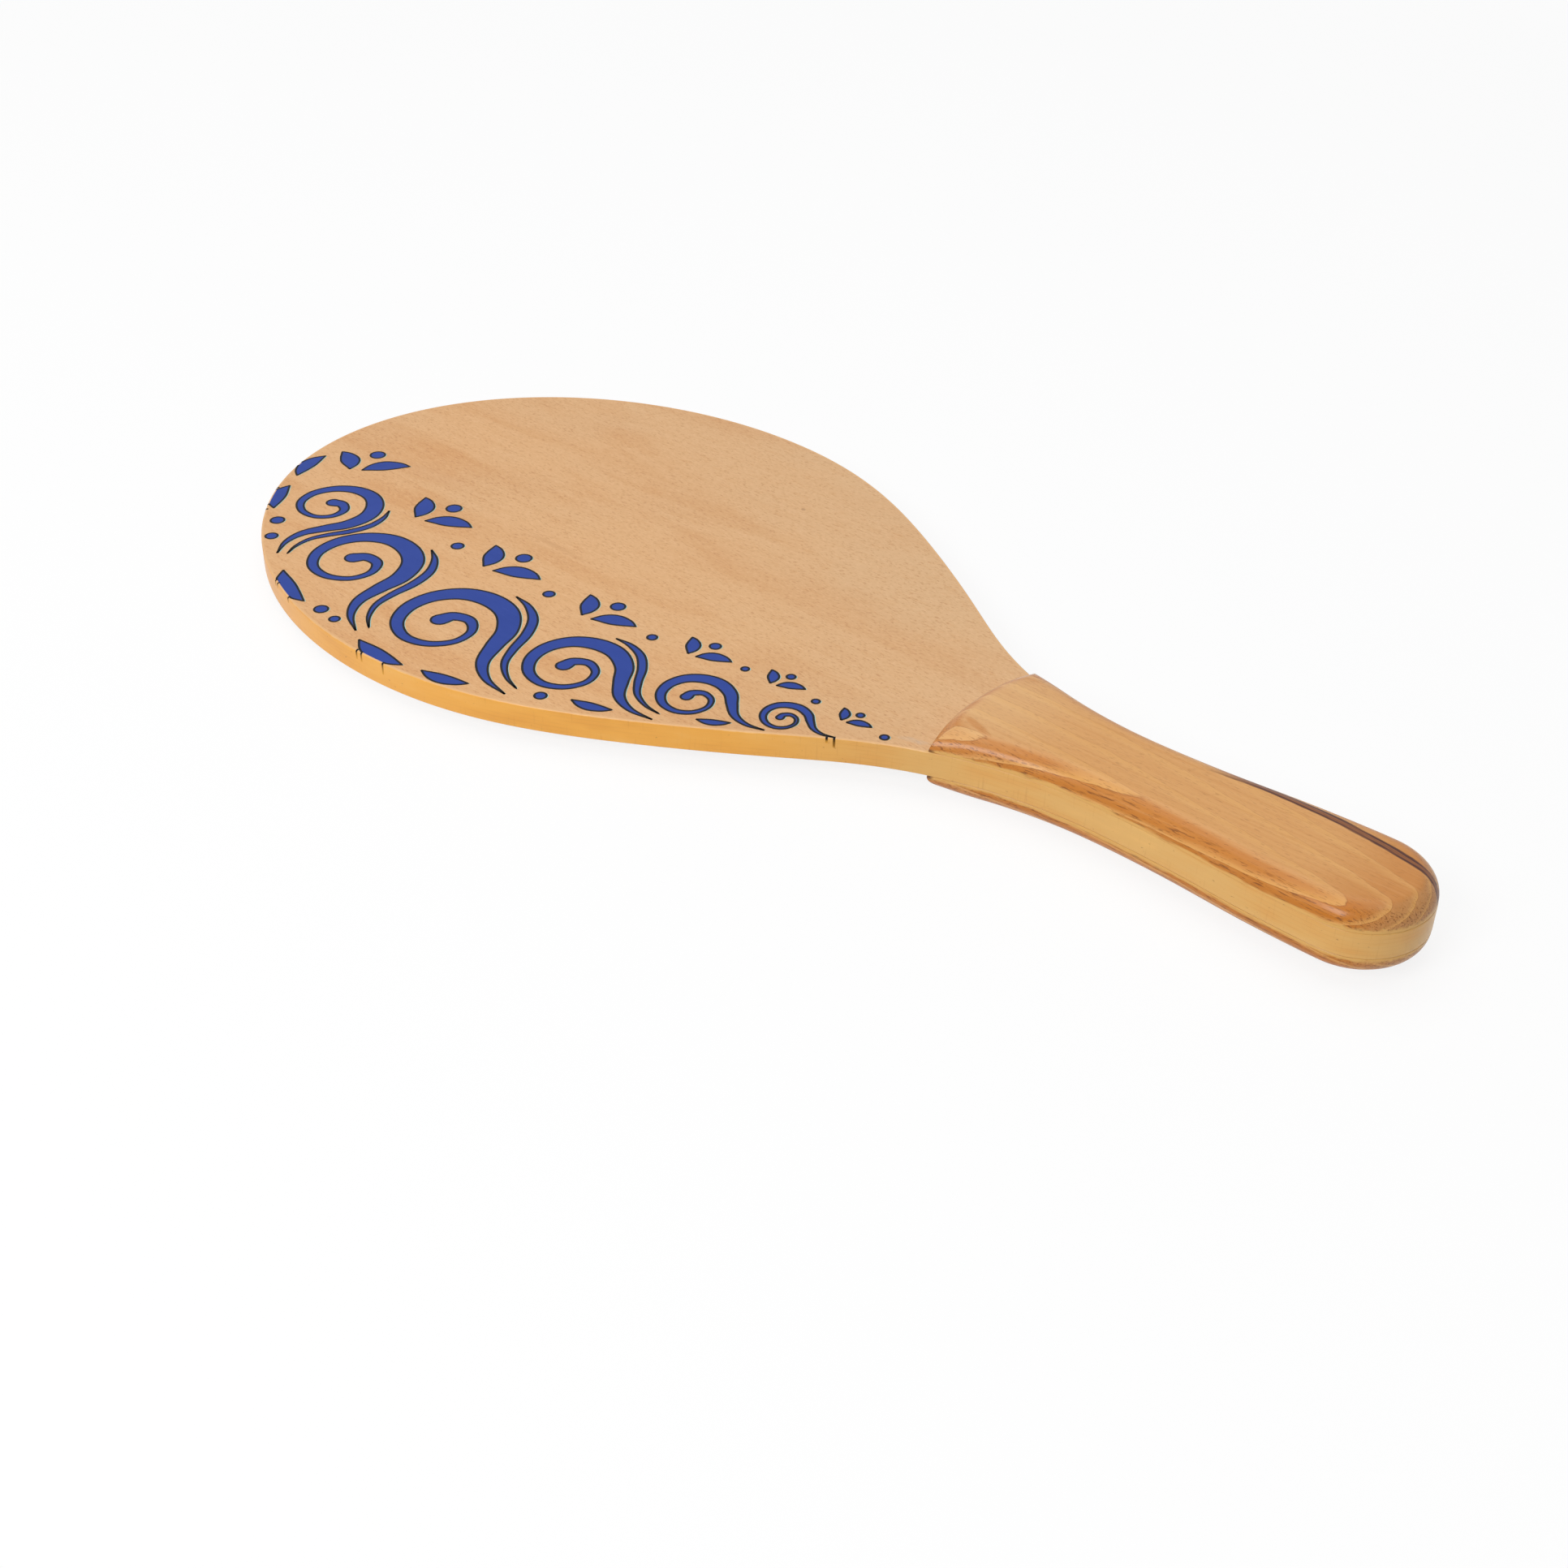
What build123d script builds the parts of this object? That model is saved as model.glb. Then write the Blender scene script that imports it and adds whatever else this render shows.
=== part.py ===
from build123d import *
import math
import os

# Frescobol racket: a plywood blade whose tang runs through the grip, with a solid wood scale glued on each face.
# Frame: X from the tip of the blade to the butt, Y across, Z up, the printed front face up.
# The origin is the middle of the racket's length and width, at the flat of the back scale.

# Lengths along the racket, mm
overall_length = 463.0
tip_to_widest = 130.5
shoulder_to_neck = 86.5
flank_to_neck = 41.5
neck_to_butt = 156.5
waist_to_butt = 101.0
flare_to_butt = 22.0

# Full widths at those places, mm
blade_width = 217.0
shoulder_width = 162.8
flank_width = 105.8
neck_width = 57.8
waist_width = 36.9
flare_width = 44.9

# Plywood blade, mm
face_ply_thickness = 0.9
inner_ply_thickness = 1.44
face_ply_edge_radius = 0.6
inner_ply_names = [
    "back_cross_ply",
    "back_long_ply",
    "middle_cross_ply",
    "front_long_ply",
    "front_cross_ply",
]

# Handle scales, mm
scale_thickness = 7.5
scale_edge_radius = 7.0
scale_edge_land = 0.4
scale_front_bow = 4.2


def station(to_butt, width):
    """Point of the outline's +Y side that lies so far from the butt's end, where the racket is that wide."""
    return (overall_length / 2 - to_butt, width / 2)


tip = station(overall_length, 0)
widest = station(overall_length - tip_to_widest, blade_width)
shoulder = station(neck_to_butt + shoulder_to_neck, shoulder_width)
flank = station(neck_to_butt + flank_to_neck, flank_width)
neck = station(neck_to_butt, neck_width)
waist = station(waist_to_butt, waist_width)
flare = station(flare_to_butt, flare_width)
butt = station(0, 0)


def turn_between(start, end):
    """Angle in degrees that one arc turns through from start to a level end, or back."""
    return 2 * math.degrees(math.atan2(abs(end[1] - start[1]), end[0] - start[0]))


def blade_side():
    """+Y edge of the blade: a quarter ellipse from the tip, then one curve in to the neck."""
    round_end = EllipticalCenterArc(
        (widest[0], 0), widest[0] - tip[0], widest[1], start_angle=90, arc_size=90
    )
    neck_slope = math.radians(turn_between(neck, waist))
    narrowing = Spline(
        widest,
        shoulder,
        flank,
        neck,
        tangents=[(1, 0), (math.cos(neck_slope), -math.sin(neck_slope))],
    )
    return [round_end, narrowing]


def grip_side():
    """+Y edge of the grip: hollow to the waist, out to the flare in two arcs, round the butt."""
    to_waist = TangentArc(waist, neck, tangent=(-1, 0))
    middle = ((waist[0] + flare[0]) / 2, (waist[1] + flare[1]) / 2)
    from_waist = TangentArc(waist, middle, tangent=(1, 0))
    to_flare = TangentArc(flare, middle, tangent=(-1, 0))
    round_butt = EllipticalCenterArc(
        (flare[0], 0), butt[0] - flare[0], flare[1], start_angle=0, arc_size=90
    )
    return [to_waist, from_waist, to_flare, round_butt]


def both_sides(edges):
    """The edges and their mirror images across the racket's centre line."""
    return edges + [edge.mirror(Plane.XZ) for edge in edges]


def core_plan():
    """Plan of every ply: the outline of the whole racket."""
    return make_face(Wire(both_sides(blade_side() + grip_side())))


def scale_plan():
    """Plan of a handle scale: the grip's outline, closed by a front bowed towards the blade."""
    front = ThreePointArc(neck, (neck[0] - scale_front_bow, 0), (neck[0], -neck[1]))
    return make_face(Wire(both_sides(grip_side()) + [front]))


def ply(plan, thickness, bottom):
    """One sheet of the plywood, with its underside at the height given."""
    return Pos(0, 0, bottom) * extrude(plan, amount=thickness, dir=(0, 0, 1))


def face_ply(plan, bottom, outer):
    """An outer sheet, with its outer edge eased. outer is 1 for the front and -1 for the back."""
    sheet = ply(plan, face_ply_thickness, bottom)
    outer_face = sheet.faces().sort_by(Axis.Z)[-1 if outer > 0 else 0]
    return fillet(outer_face.edges(), face_ply_edge_radius)


def scale(plan, bottom, outer):
    """A handle scale, rounded over all round its outer face."""
    blank = ply(plan, scale_thickness, bottom)
    outer_face = blank.faces().sort_by(Axis.Z)[-1 if outer > 0 else 0]
    return fillet(outer_face.edges(), min(scale_edge_radius, scale_thickness - scale_edge_land))


def build():
    """Every piece by name, stacked upwards from the back scale."""
    core = core_plan()
    grip = scale_plan()
    pieces = {"back_handle_scale": scale(grip, 0, -1)}

    level = scale_thickness
    pieces["back_face_ply"] = face_ply(core, level, -1)
    level += face_ply_thickness
    for name in inner_ply_names:
        pieces[name] = ply(core, inner_ply_thickness, level)
        level += inner_ply_thickness
    pieces["front_face_ply"] = face_ply(core, level, 1)
    level += face_ply_thickness

    pieces["front_handle_scale"] = scale(grip, level, 1)
    return pieces


os.makedirs("parts", exist_ok=True)
for name, solid in build().items():
    export_step(solid, f"parts/{name}.step")
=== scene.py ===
import bpy
import bmesh
import math
import random
import numpy as np
from mathutils import Matrix, Vector, noise


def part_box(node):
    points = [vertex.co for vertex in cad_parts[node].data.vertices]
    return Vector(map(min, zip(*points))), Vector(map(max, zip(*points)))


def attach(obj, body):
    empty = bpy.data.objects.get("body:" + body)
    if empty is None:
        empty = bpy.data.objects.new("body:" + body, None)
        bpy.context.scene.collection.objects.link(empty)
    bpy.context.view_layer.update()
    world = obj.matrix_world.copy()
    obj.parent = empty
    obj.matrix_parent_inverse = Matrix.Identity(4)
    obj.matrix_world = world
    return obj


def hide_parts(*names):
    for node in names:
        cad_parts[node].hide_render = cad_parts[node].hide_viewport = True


bl_info = {
    "name": "Frescobol racket",
    "version": (1, 0, 0),
    "blender": (4, 5, 0),
    "location": "3D View > Sidebar > Racket",
    "description": "Dresses a plywood beach racket with its rim lacquer, shaped beech grip and face print",
    "category": "Mesh",
}

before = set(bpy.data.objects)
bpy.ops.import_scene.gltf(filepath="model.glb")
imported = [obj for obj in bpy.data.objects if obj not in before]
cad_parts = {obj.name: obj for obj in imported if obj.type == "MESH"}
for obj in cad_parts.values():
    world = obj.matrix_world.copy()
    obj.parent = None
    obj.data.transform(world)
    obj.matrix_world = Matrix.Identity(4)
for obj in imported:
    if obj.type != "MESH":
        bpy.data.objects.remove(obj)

MM = 0.001
BODY = "root"

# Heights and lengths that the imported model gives, in metres
FACE_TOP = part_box("front_face_ply")[1].z
FACE_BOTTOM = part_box("back_face_ply")[0].z
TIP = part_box("front_face_ply")[0].x
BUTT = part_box("front_face_ply")[1].x
INNER_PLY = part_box("middle_cross_ply")[1].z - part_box("middle_cross_ply")[0].z
SCALE_LOW, SCALE_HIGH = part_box("front_handle_scale")
SCALE_FRONT = SCALE_LOW.x
SCALE_HALF_WIDTH = SCALE_HIGH.y
SCALE_THICKNESS = SCALE_HIGH.z - SCALE_LOW.z


def srgb(red, green, blue):
    """Linear colour from the 0 to 255 values that a screen shows."""
    def linear(value):
        share = value / 255
        return share / 12.92 if share <= 0.04045 else ((share + 0.055) / 1.055) ** 2.4
    return (linear(red), linear(green), linear(blue))


# Settings that a user would change


def colour_setting(name, description, red, green, blue):
    """Setting for a colour, its default given as the 0 to 255 values that a screen shows."""
    default = srgb(red, green, blue)
    return bpy.props.FloatVectorProperty(name=name, description=description, default=default, subtype="COLOR")


def length_setting(name, description, size):
    """Setting for a length, its default given in millimetres."""
    return bpy.props.FloatProperty(
        name=name, description=description, default=size * MM, precision=6, subtype="DISTANCE", unit="LENGTH"
    )


class StudioSettings(bpy.types.PropertyGroup):
    lens: bpy.props.FloatProperty(
        name="Lens", description="Focal length in millimetres", default=50.0, subtype="DISTANCE_CAMERA"
    )
    overhead_power: bpy.props.FloatProperty(
        name="Overhead softbox", description="Power of the large softbox above", default=30.0, subtype="POWER"
    )
    side_power: bpy.props.FloatProperty(
        name="Side softbox", description="Power of the softbox by the print", default=19.0, subtype="POWER"
    )
    room_light: bpy.props.FloatProperty(
        name="Room light", description="Strength of the even light from all round", default=0.25
    )
    floor_glow: bpy.props.FloatProperty(
        name="Floor whiteness", description="How far it is lifted to white", default=0.85, subtype="FACTOR"
    )


class WoodSettings(bpy.types.PropertyGroup):
    veneer_colour: colour_setting("Veneer", "Main colour of the face veneers", 220, 172, 121)
    veneer_warm_colour: colour_setting("Warm veneer", "Colour of the veneer's darker bands", 206, 148, 92)
    grip_colour: colour_setting("Grip", "Colour of the grip's wood on its flat", 216, 160, 97)
    grip_dark_colour: colour_setting(
        "Grip below the flat", "Colour of the deeper wood that the rounding lays open", 186, 110, 24
    )
    ring_spacing: length_setting("Growth rings", "Distance between growth rings in the grip's wood", 3.0)


class RimSettings(bpy.types.PropertyGroup):
    colour: colour_setting("Lacquer", "Colour of the lacquer on the blade's edge", 232, 166, 66)
    grip_colour: colour_setting("Grip lacquer", "Colour of the lacquer between the scales", 217, 169, 95)
    thickness: length_setting("Coat", "Thickness of the lacquer on the edge", 0.08)
    arris: length_setting("Arris", "Radius of the eased corner between face and edge", 0.6)


class GripSettings(bpy.types.PropertyGroup):
    round_over: length_setting("Round-over", "Radius of the scales' rounded edge", 7.0)
    crown: length_setting("Crown", "How far the flat falls away towards its edges", 0.22)
    hand_sanding: length_setting("Hand sanding", "Depth of the slow waves that sanding leaves", 0.07)
    corner_drop: length_setting("Corner drop", "How far sanding takes the front corners down", 2.2)
    lacquer_lap: length_setting("Lacquer lap", "How far the lacquer runs on to the scales' sides", 1.15)


class PrintSettings(bpy.types.PropertyGroup):
    fill_colour: colour_setting("Fill ink", "Colour of the filled shapes", 42, 67, 148)
    line_colour: colour_setting("Line ink", "Colour of the outlines", 10, 9, 12)
    ground_colour: colour_setting("Ground", "Colour of the pale ground under the fill", 168, 206, 198)
    line_width: length_setting("Line width", "Width of the outlines", 0.77)
    film: length_setting("Film", "Thickness of one layer of ink", 0.015)
    ground_shift: length_setting("Ground shift", "How far the pale ground is printed out of register", 0.55)
    seed: bpy.props.IntProperty(name="Seed", description="Seed of the ink's runs over the edge", default=7)


SETTINGS = {
    "racket_studio": StudioSettings,
    "racket_wood": WoodSettings,
    "racket_rim": RimSettings,
    "racket_grip": GripSettings,
    "racket_print": PrintSettings,
}


# Node trees


class Value:
    """A number socket of a node tree, so that maths on it reads as an expression."""

    def __init__(self, net, socket):
        self.net = net
        self.socket = socket

    def made(self, operation, *others):
        sockets = dict(enumerate([self, *others]))
        return self.net.value("ShaderNodeMath", {"operation": operation}, sockets)

    def swapped(self, operation, first):
        return self.net.value("ShaderNodeMath", {"operation": operation}, {0: first, 1: self})

    def __add__(self, other):
        return self.made("ADD", other)

    def __sub__(self, other):
        return self.made("SUBTRACT", other)

    def __mul__(self, other):
        return self.made("MULTIPLY", other)

    def __truediv__(self, other):
        return self.made("DIVIDE", other)

    def __rsub__(self, other):
        return self.swapped("SUBTRACT", other)

    def __rtruediv__(self, other):
        return self.swapped("DIVIDE", other)

    __radd__ = __add__
    __rmul__ = __mul__

    def fract(self):
        return self.made("FRACT")

    def absolute(self):
        return self.made("ABSOLUTE")

    def highest(self, other):
        return self.made("MAXIMUM", other)

    def step(self, low, high):
        """0 below low, 1 above high and a smooth rise between. A high below low falls instead."""
        sockets = {"Value": self, "From Min": low, "From Max": high}
        return self.net.value("ShaderNodeMapRange", {"interpolation_type": "SMOOTHSTEP"}, sockets)


class Net:
    """A node tree, with one method that makes any node."""

    def __init__(self, tree):
        self.tree = tree
        tree.nodes.clear()

    def node(self, kind, settings=None, sockets=None):
        """A new node. Its sockets are given values, or what feeds them: a socket, a Value or a node."""
        made = self.tree.nodes.new(kind)
        for name, setting in (settings or {}).items():
            setattr(made, name, setting)
        for name, given in (sockets or {}).items():
            if isinstance(given, Value):
                given = given.socket
            if isinstance(given, bpy.types.Node):
                given = given.outputs[0]
            if isinstance(given, bpy.types.NodeSocket):
                self.tree.links.new(given, made.inputs[name])
            else:
                made.inputs[name].default_value = given
        return made

    def value(self, kind, settings=None, sockets=None, output=0):
        return Value(self, self.node(kind, settings, sockets).outputs[output])

    def axes(self, vector):
        """The three numbers of a vector."""
        split = self.node("ShaderNodeSeparateXYZ", sockets={0: vector})
        return [Value(self, socket) for socket in split.outputs]

    def vector_maths(self, operation, sockets):
        return self.node("ShaderNodeVectorMath", {"operation": operation}, sockets)


class Surface(Net):
    """A material's tree. Its coordinates are in millimetres, and its textures lie along the flow."""

    def __init__(self, name, shift=(0.0, 0.0, 0.0)):
        self.material = bpy.data.materials.new(name)
        self.material.use_nodes = True
        super().__init__(self.material.node_tree)
        self.coordinates = self.node("ShaderNodeTexCoord")
        self.place = self.in_millimetres("Object")
        self.flow = self.place
        self.shift = shift

    def in_millimetres(self, output):
        factors = (1 / MM, 1 / MM, 1 / MM)
        return self.vector_maths("MULTIPLY", {0: self.coordinates.outputs[output], 1: factors})

    def noise(self, cell, detail=2.0, roughness=0.5, distortion=0.0, shift=None):
        """Noise from 0 to 1 whose cells measure about cell, in millimetres along each axis."""
        factors = tuple(1 / size for size in cell)
        sockets = {
            "Vector": self.vector_maths("MULTIPLY_ADD", {0: self.flow, 1: factors, 2: shift or self.shift}),
            "Scale": 1.0,
            "Detail": detail,
            "Roughness": roughness,
            "Distortion": distortion,
        }
        return self.value("ShaderNodeTexNoise", sockets=sockets)

    def mixed(self, share, first, second):
        """Colour between two colours, by a share that is held between 0 and 1."""
        sockets = {0: share}
        for index, colour in ((6, first), (7, second)):
            sockets[index] = colour if isinstance(colour, bpy.types.NodeSocket) else (*colour, 1.0)
        return self.node("ShaderNodeMix", {"data_type": "RGBA", "clamp_factor": True}, sockets).outputs[2]

    def lay(self, share, colour):
        """Lays a share of a colour over the colour that the surface has so far."""
        self.colour = self.mixed(share, self.colour, colour)

    def finished(self, roughness, height, relief, **constants):
        """Ends the material in a Principled BSDF. height is 0 to 1, and relief is its depth in metres."""
        sockets = {"Base Color": self.colour, "Roughness": roughness}
        sockets.update({name.replace("_", " "): constant for name, constant in constants.items()})
        bump = {"Height": height, "Distance": relief, "Strength": 1.0}
        sockets["Normal"] = self.node("ShaderNodeBump", sockets=bump)
        shader = self.node("ShaderNodeBsdfPrincipled", sockets=sockets)
        self.node("ShaderNodeOutputMaterial", sockets={0: shader})
        return self.material


# Woods and coats. Their places are in millimetres, x along the racket from its middle towards the butt.

# Knot and stains of the front veneer: place, length and width, slope, cell and depth of the ragged edge,
# strength and colour
FACE_MARKS = (
    (-58.1, 68.0, 1.5, 1.2, 0.0, (1, 1, 1), 0.5, 0.5, srgb(150, 100, 60)),
    (68.5, -26.5, 9.0, 2.4, 0.22, (3, 1.4, 2), 0.9, 0.55, srgb(196, 176, 156)),
    (-104.5, -14.0, 36.0, 2.6, -0.075, (14, 1.6, 4), 1.0, 0.5, srgb(196, 142, 92)),
    (-179.5, -6.0, 46.0, 9.0, 0.05, (22, 4.5, 6), 1.1, 0.42, srgb(205, 152, 104)),
)


def veneer(name, wood, turned=False, shift=(0.0, 0.0, 0.0), marks=()):
    """Rotary-cut beech: broad soft bands, fine streaks and short pore flecks along the grain."""
    surface = Surface(name, shift)
    if turned:
        sockets = {"Vector": surface.place, "Angle": math.pi / 2}
        surface.flow = surface.node("ShaderNodeVectorRotate", {"rotation_type": "Z_AXIS"}, sockets)
    x, y, _ = surface.axes(surface.place)

    bands = surface.noise((95, 17, 30), detail=3.0, roughness=0.55, distortion=0.6)
    streaks = surface.noise((34, 1.7, 6), detail=3.0, roughness=0.6)
    lines = surface.noise((16, 0.42, 2), roughness=0.55)
    mottle = surface.noise((5.5, 1.3, 2), roughness=0.6)
    flecks = surface.noise((1.5, 0.42, 0.6), detail=1.5)
    patches = surface.noise((60, 45, 30))

    warm = bands.step(0.42, 0.72) * 0.66 + streaks.step(0.4, 0.75) * 0.24 + lines.step(0.45, 0.8) * 0.16
    surface.colour = surface.mixed(warm, wood.veneer_colour, wood.veneer_warm_colour)
    paler = (x + y * 1.6).step(-190, 150) * 0.55 + patches.step(0.4, 0.75) * 0.25
    surface.lay(paler, srgb(214, 175, 131))
    surface.lay(mottle.step(0.5, 0.78) * 0.3, wood.veneer_warm_colour)
    dark_flecks = flecks.step(0.56, 0.7) * (0.28 + patches * 0.3)
    surface.lay(dark_flecks, srgb(178, 116, 68))
    pale_rays = flecks.step(0.43, 0.3) * 0.34
    surface.lay(pale_rays, srgb(232, 192, 146))

    for mark_x, mark_y, length, width, slope, cell, ragged, strength, colour in marks:
        along = (x - mark_x) / length
        across = (y - mark_y - (x - mark_x) * slope) / width
        edge = surface.noise(cell) * ragged
        surface.lay((along * along + across * across + edge).step(1.0, 0.2) * strength, colour)

    height = streaks * 0.3 + lines * 0.3 + flecks.step(0.74, 0.6) * 0.4
    roughness = 0.48 + bands * 0.08 + flecks.step(0.6, 0.75) * 0.12
    return surface.finished(roughness, height, 0.03 * MM, Specular_IOR_Level=0.35)


class GripWood(Surface):
    """Lacquered beech in the solid: growth rings nearly level with the flat, which the rounding cuts open."""

    def __init__(self, name, wood, flat_height, shift):
        super().__init__(name, shift)
        self.x, self.y, z = self.axes(self.place)
        self.depth = (z - flat_height / MM).absolute()
        self.cut_open = self.depth.step(0.0, 0.9)
        self.streaks = self.noise((48, 1.3, 1.3), detail=3.0, roughness=0.6)
        self.pores = self.noise((2.6, 0.34, 0.34), detail=1.0)
        self.dark = wood.grip_dark_colour

        # The rings' level rises with the depth and the two slopes, and bows along the grip
        along = self.x - 80
        slopes = self.y * 0.3 + along * 0.01 + along * along * 0.00023
        sway = (self.noise((120, 30, 12)) - 0.5) * 1.4
        ripple = (self.noise((14, 3.0, 3.0), detail=3.0) - 0.5) * 0.5
        level = self.depth * 0.8 + slopes + sway + ripple + 5.3
        self.into_ring = (level / (wood.ring_spacing / MM)).fract()
        self.late = self.into_ring.step(1.05, 0.55)
        self.colour = self.mixed(self.x.step(74, 120), srgb(223, 176, 121), wood.grip_colour)

    def add_rings(self):
        """Dark late wood, pale tongues of early wood, and a thin dark edge between two rings."""
        x, cut_open = self.x, self.cut_open
        to_butt = x.step(192, 224) * (0.5 - cut_open * 0.3)
        late = (self.late - 0.7) * (0.32 + cut_open * 0.28)
        self.lay(cut_open * 0.6 + self.depth.step(2, 6) * 0.12 + to_butt + late, self.dark)
        butt_end = x.step(214, 229) * cut_open * 0.55
        self.lay(butt_end, srgb(192, 150, 102))
        tongue = self.into_ring.step(0.62, 0.97) * (0.2 + cut_open * (0.06 + x.step(84, 112) * 0.2))
        self.lay(tongue, srgb(224, 166, 86))
        edge = (self.into_ring - 0.5).absolute().step(0.476, 0.496) * (0.16 + cut_open * 0.34)
        self.lay(edge, srgb(146, 80, 26))

    def add_corner_shade(self):
        """A darker patch by the front corner on the printed edge's side."""
        half_length, half_width, lean = 8, 2.1, 2.6
        along = (self.x - 84) / half_length
        across = (self.y + 15.6 + along * lean) / half_width
        edge = self.noise((4, 1, 1)) * 0.7
        self.lay((along * along + across * across + edge).step(1.2, 0.4) * 0.55, srgb(190, 116, 40))

    def add_vessels(self):
        """Streaks, pores and the long open vessels of the rounding."""
        self.lay(self.streaks.step(0.45, 0.8) * 0.26, self.dark)
        self.lay(self.streaks.step(0.5, 0.25) * 0.2, srgb(226, 174, 112))
        self.lay(self.pores.step(0.59, 0.7) * (0.26 + self.cut_open * 0.26), srgb(140, 80, 30))
        vessels = self.noise((7.5, 0.55, 0.55), detail=3.0, roughness=0.6).step(0.55, 0.63)
        self.lay(vessels * self.depth.step(0.7, 3) * self.late.step(0.15, 0.7) * 0.75, srgb(112, 60, 20))

    def add_mineral_streak(self):
        """Dark curved streak along the +Y edge near the butt: brown, with near-black lines in it."""
        highest_x, highest_y, half_width = 178.5, 15.2, 1.0
        along = (self.x - highest_x) / 10
        wander = (self.noise((16, 3, 3), detail=3.0, shift=(0.0, 0.0, 0.0)) - 0.5) * 1.5
        off = (self.y - (highest_y - along * along * 0.262) + self.depth * 0.25 + wander).absolute()
        begins = self.x.step(146, 168)
        self.lay(off.step(half_width + 0.9, half_width + 0.1) * begins * 0.85, srgb(140, 76, 32))
        lines = (off - half_width).absolute().step(0.75, 0.25).highest(off.step(0.4, 0.1) * 0.5)
        broken = 0.55 + self.streaks.step(0.35, 0.55) * 0.45
        self.lay(lines * begins * broken, srgb(68, 24, 4))

    def add_coats(self, grip, rim):
        """The rim's lacquer where it laps over the side, a painted sheen on the front end, and its glue line
        with painted shade where the joint opens at the near corner.
        """
        from_joint = SCALE_THICKNESS / MM - self.depth
        lap_height = grip.lacquer_lap / MM * (self.noise((46, 30, 30), detail=3.0) * 1.9 - 0.1)
        ragged = self.noise((9, 1.2, 1.2)) - 0.5
        lap = (from_joint - lap_height + ragged * 2.2).step(0.7, -0.5) * self.x.step(75.0, 77.5) * 0.92
        self.lay(lap, rim.grip_colour)
        across = self.y / (SCALE_HALF_WIDTH / MM)
        from_front = self.x - SCALE_FRONT / MM - across * across * ((NECK - SCALE_FRONT) / MM)
        # Painted sheen: a greyish pale colour on the front end's rounding that stands in for the reflection
        # of the white surroundings.
        painted_sheen = from_front.step(6.5, 3.5) * self.depth.step(0.2, 2.2) * self.y.step(-24, 2) * 0.6
        self.lay(painted_sheen, srgb(206, 178, 154))
        # Glue line along the front end's foot, with painted shade added towards the near corner, where the
        # joint stands open.
        glue_line_and_gap_shade = from_front.step(2.6, 0.8) * (0.4 + self.y.step(-12, -26) * 0.5)
        self.lay(from_joint.step(1.5, 0.4) * glue_line_and_gap_shade, srgb(104, 62, 34))


def grip_wood(name, wood, grip, rim, flat_height, shift, mineral_streak):
    """Material of a handle scale whose flat lies at the height given."""
    surface = GripWood(name, wood, flat_height, shift)
    surface.add_rings()
    surface.add_corner_shade()
    surface.add_vessels()
    if mineral_streak:
        surface.add_mineral_streak()
    surface.add_coats(grip, rim)
    streaks, pores = surface.streaks, surface.pores
    height = streaks * 0.35 + (1 - pores.step(0.6, 0.72)) * 0.4 + (1 - surface.late) * 0.25
    roughness = 0.42 + streaks * 0.1 + pores.step(0.6, 0.75) * 0.1
    constants = {"Specular_IOR_Level": 0.1, "Coat_Weight": 0.4, "Coat_Roughness": 0.2}
    return surface.finished(roughness, height, 0.035 * MM, **constants)


def rim_lacquer(name, rim):
    """Golden lacquer on the edge, cloudy along the racket, with faint upright marks, a worn arris partly lit
    by a painted highlight, and painted shade towards the tip.
    """
    surface = Surface(name)
    surface.flow = surface.in_millimetres("UV")
    x, _, z = surface.axes(surface.place)
    on_blade = x.step(NECK / MM, NECK / MM - 2)
    from_face = (z - FACE_TOP / MM).absolute()
    from_back = (z - FACE_BOTTOM / MM).absolute()
    clouds = surface.noise((42, 9, 1), detail=3.0, roughness=0.6)
    marks = surface.noise((0.9, 14, 1))
    specks = surface.noise((1.8, 0.9, 1))
    worn = surface.noise((7, 3, 1), detail=4.0, roughness=0.65)

    surface.colour = surface.mixed(x.step(18, 78), rim.colour, rim.grip_colour)
    # Painted shade: the edge darkens towards the tip, which faces away from the lamps.
    surface.lay(x.step(-120, -232) * 0.55, srgb(204, 134, 52))
    surface.lay(clouds.step(0.4, 0.75) * 0.5, srgb(214, 142, 48))
    surface.lay(clouds.step(0.45, 0.2) * 0.4, srgb(238, 188, 104))
    surface.lay(marks.step(0.58, 0.8) * 0.22, srgb(166, 98, 34))
    surface.lay(specks.step(0.69, 0.76) * 0.45, srgb(128, 74, 32))

    into_ply = ((z - FACE_BOTTOM / MM) / (INNER_PLY / MM)).fract()
    glue_lines = (into_ply - 0.5).absolute().step(0.36, 0.5) * clouds.step(0.35, 0.65) * 0.16
    surface.lay(glue_lines, srgb(172, 106, 42))
    # Wear along the arris, partly a painted highlight: a pale broken line where the arris catches the light.
    wear_and_highlight = from_face.step(0.55, 0.2) * worn.step(0.5, 0.64) * on_blade * 0.4
    surface.lay(wear_and_highlight, srgb(242, 206, 146))
    thinned = (from_face.step(0.34, 0.08) + from_back.step(0.34, 0.08)) * on_blade * 0.85
    surface.lay(thinned, srgb(219, 172, 120))
    at_scale = (from_face.step(0.34, 0.1) + from_back.step(0.34, 0.1)) * (1 - on_blade)
    surface.lay(at_scale * worn.step(0.4, 0.7) * 0.12, srgb(126, 74, 32))

    height = clouds * 0.5 + marks * 0.2 + specks.step(0.7, 0.78) * 0.3
    roughness = 0.34 + clouds * 0.14 + wear_and_highlight * 0.2
    constants = {"Specular_IOR_Level": 0.4, "Coat_Weight": 0.2, "Coat_Roughness": 0.2}
    return surface.finished(roughness, height, 0.03 * MM, **constants)


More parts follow.
